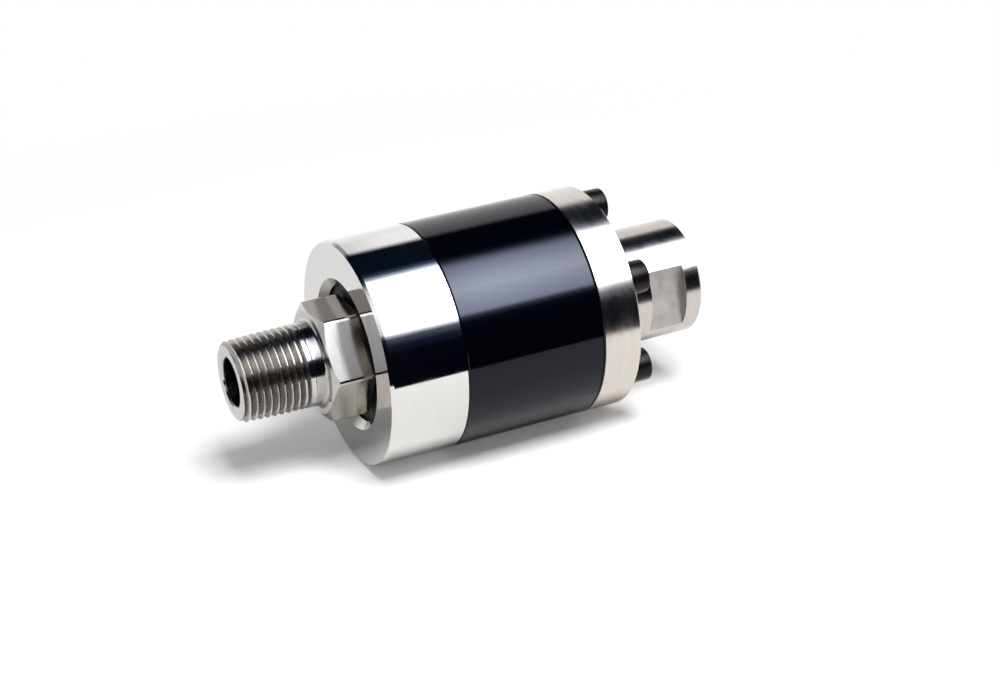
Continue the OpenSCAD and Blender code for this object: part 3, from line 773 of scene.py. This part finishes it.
# the photograph's camera, found from the object's own edges
view = {
    "azimuth": -24.204,
    "elevation": 24.923,
    "roll": -3.358,
    "place": (-164.134 * mm, -479.184 * mm, 234.789 * mm),
    "lens": 80.59,
    "sensor": 36,
    "nearest": 0.01,
}


def addCamera():
    azimuth, elevation, roll = (math.radians(view[key]) for key in ("azimuth", "elevation", "roll"))
    back = Vector((
        math.sin(azimuth) * math.cos(elevation), -math.cos(azimuth) * math.cos(elevation),
        math.sin(elevation)))
    level = Vector((math.cos(azimuth), math.sin(azimuth), 0))
    upright = back.cross(level)
    right = level * math.cos(roll) + upright * math.sin(roll)
    up = upright * math.cos(roll) - level * math.sin(roll)
    bpy.ops.object.camera_add()
    camera = bpy.context.object
    placed = Matrix((right, up, back)).transposed().to_4x4()
    placed.translation = view["place"]
    camera.matrix_world = placed
    camera.data.sensor_width = view["sensor"]
    camera.data.lens = view["lens"]
    camera.data.clip_start = view["nearest"]
    bpy.context.scene.camera = camera


addCamera()

# the two unlit tones of the room
roomDark = (0.001, 0.0015, 0.005)
roomAbove = (0.002, 0.005, 0.013)

# the studio: metal reflects it in layers along X, each set by the angle from +Y over the top,
# and by how far the reflection leans to the -X or +X side
studio = {
    "middleX": 0.04,
    "layers": [{
        # the sweep behind, and the table in front beyond its dark edge
        "byAngle": [
            (0, 1), (12, 1), (24, 0), (48, roomAbove), (76, roomAbove), (156, roomDark),
            (200, roomDark), (205, 1.22), (360, 1.22)],
        "bySide": [(-1, 1), (1, 1)],
    }, {
        # the upper backdrop, which stops to the left
        "byAngle": [(0, 0), (12, 0), (24, 1.25), (40.5, 1.25), (47, 0), (360, 0)],
        "bySide": [
            (-0.7, 0.16), (-0.3, 0.28), (0.22, 0.30), (0.302, 0.42), (0.335, 0.90), (0.36, 0.86),
            (0.42, 0.78), (0.6, 0.7)],
    }, {
        # the softbox, brightest above its middle, with a soft edge and a dimmer left half
        "byAngle": [
            (77, 0), (81.8, (0.07, 0.11, 0.18)), (85.7, (1.0, 1.1, 1.35)),
            (94.5, (8.6, 9.2, 10.4)), (109, (15.5, 16, 17.5)), (119, (19, 19.2, 20)),
            (143, (11.2, 11.8, 13.4)), (146.3, (1.7, 1.8, 2.0)), (150, (0.13, 0.15, 0.22)),
            (157, (0.01, 0.018, 0.035)), (166, 0)],
        "bySide": [
            (-0.85, 0.038), (-0.5, 0.08), (-0.3, 0.165), (0.24, 0.12), (0.30, 0.19), (0.37, 1),
            (0.41, 0.80), (0.47, 0.52), (0.6, 0.12), (0.85, 0.08)],
    }],
    "brightest": 20,
    "softLight": 0.36,
    "lampPlace": (0.07, -0.42, 0.78),
    "lampSize": 0.38,
    "lampPower": 9.2,
    "floorSize": 8,
    "floorRoughness": 0.9,
    "floorColour": (0.86, 0.86, 0.86, 1),
    "floorGlow": 0.12,
    "floorInMetal": (0.77, 0.77, 0.77, 1),
    "glowInMetal": 0.02,
    "floorShine": 1.10,
    "whiteFrom": 0.12,
    "whiteTo": 0.30,
    "cardSize": 10,
    "cardFrom": -0.116,
    "cardLift": 0.5 * mm,
}
white = (1, 1, 1, 1)


def lightRamp(world, value, stops, lowest, highest, brightest):
    place = addNode(world, "MapRange", {"Value": value, "From Min": lowest, "From Max": highest})
    ramp = addNode(world, "ValToRGB", {0: place.outputs[0]})
    made = ramp.color_ramp.elements
    while len(made) < len(stops):
        made.new(0.5)
    for stop, (where, level) in zip(made, stops):
        colour = level if isinstance(level, tuple) else (level, level, level)
        stop.position = (where - lowest) / (highest - lowest)
        stop.color = [part / brightest for part in colour] + [1]
    return ramp.outputs[0]


def buildWorld():
    world = bpy.data.worlds.new("studioLight")
    bpy.context.scene.world = world
    world.use_nodes = True
    world.node_tree.nodes.clear()
    ray = addNode(world, "LightPath")
    direction = addNode(world, "TexCoord").outputs["Generated"]
    parts = addNode(world, "SeparateXYZ", {0: direction})
    turned = calc(world, "ARCTAN2", parts.outputs["Z"], parts.outputs["Y"])
    signed = calc(world, "MULTIPLY", turned, 180 / math.pi)
    angle = calc(world, "WRAP", signed, 0, 360)
    total = (0, 0, 0)
    for layer in studio["layers"]:
        light = lightRamp(world, angle, layer["byAngle"], 0, 360, studio["brightest"])
        share = lightRamp(world, parts.outputs["X"], layer["bySide"], -1, 1, 1)
        total = calcVector(world, "ADD", total, calcVector(world, "MULTIPLY", light, share))
    reflected = addNode(world, "Background", {0: total, 1: studio["brightest"]})
    soft = addNode(world, "Background", {0: white, 1: studio["softLight"]})
    plain = addNode(world, "Background", {0: white, 1: 1})
    glossy = addNode(
        world, "MixShader",
        {0: ray.outputs["Is Glossy Ray"], 1: soft.outputs[0], 2: reflected.outputs[0]})
    seen = addNode(
        world, "MixShader",
        {0: ray.outputs["Is Camera Ray"], 1: glossy.outputs[0], 2: plain.outputs[0]})
    addNode(world, "OutputWorld", {0: seen.outputs[0]})


def buildFloor():
    bpy.ops.mesh.primitive_plane_add(
        size=studio["floorSize"], location=(studio["middleX"], 0, cadBox[0].z))
    floor = bpy.context.object
    floor.name = "studioFloor"
    applyPlace(floor)
    mat, shader = newMaterial("palePaper", metallic=0, Roughness=studio["floorRoughness"])
    shader.inputs["Specular IOR Level"].default_value = 0
    ray = addNode(mat, "LightPath")
    glossy = ray.outputs["Is Glossy Ray"]
    colour = blendColours(mat, glossy, studio["floorColour"], studio["floorInMetal"])
    mat.node_tree.links.new(colour, shader.inputs["Base Color"])

    # the paper turns plain white away from the object, for the camera and in the metal
    place = addNode(mat, "TexCoord").outputs["Object"]
    reach = lengthOf(mat, calcVector(mat, "ADD", place, (-studio["middleX"], 0, 0)))
    whiter = addNode(mat, "MapRange", {
        "Value": reach, "From Min": studio["whiteFrom"], "From Max": studio["whiteTo"]},
        interpolation_type="SMOOTHSTEP").outputs[0]
    looked = calc(mat, "MAXIMUM", ray.outputs["Is Camera Ray"], glossy)
    factor = calc(mat, "MULTIPLY", whiter, looked)
    shine = spread(mat, glossy, 1, studio["floorShine"], fromLow=0, fromHigh=1)
    plain = addNode(mat, "Emission", {0: white, 1: shine}).outputs[0]
    level = spread(
        mat, glossy, studio["floorGlow"], studio["glowInMetal"], fromLow=0, fromHigh=1)
    glow = addNode(mat, "Emission", {0: white, 1: calc(mat, "MULTIPLY", looked, level)}).outputs[0]
    lit = addNode(mat, "AddShader", {0: shader.outputs[0], 1: glow}).outputs[0]
    mixed = addNode(mat, "MixShader", {0: factor, 1: lit, 2: plain}).outputs[0]
    mat.node_tree.links.new(mixed, mat.node_tree.nodes["Material Output"].inputs["Surface"])
    floor.data.materials.append(mat)


# a black card on the table, seen only in the metal, which ends the paper towards the camera
def buildCard():
    bpy.ops.mesh.primitive_plane_add(size=studio["cardSize"], location=(
        studio["middleX"], studio["cardFrom"] - studio["cardSize"] / 2,
        cadBox[0].z + studio["cardLift"]))
    card = bpy.context.object
    card.name = "blackCard"
    applyPlace(card)
    mat = bpy.data.materials.new("blackCard")
    mat.use_nodes = True
    mat.node_tree.nodes.clear()
    dark = addNode(mat, "Emission", {0: roomDark + (1,), 1: 1})
    addNode(mat, "OutputMaterial", {0: dark.outputs[0]})
    card.data.materials.append(mat)
    card.visible_camera = False
    card.visible_diffuse = False
    card.visible_shadow = False


def buildLamp():
    bpy.ops.object.light_add(type="AREA", location=studio["lampPlace"])
    lamp = bpy.context.object
    lamp.data.size = studio["lampSize"]
    lamp.data.energy = studio["lampPower"]
    aim = Vector((studio["middleX"], 0, 0)) - lamp.location
    lamp.rotation_euler = aim.to_track_quat("-Z", "Y").to_euler()
    lamp.visible_glossy = False


buildWorld()
buildFloor()
buildCard()
buildLamp()
print("studio built")
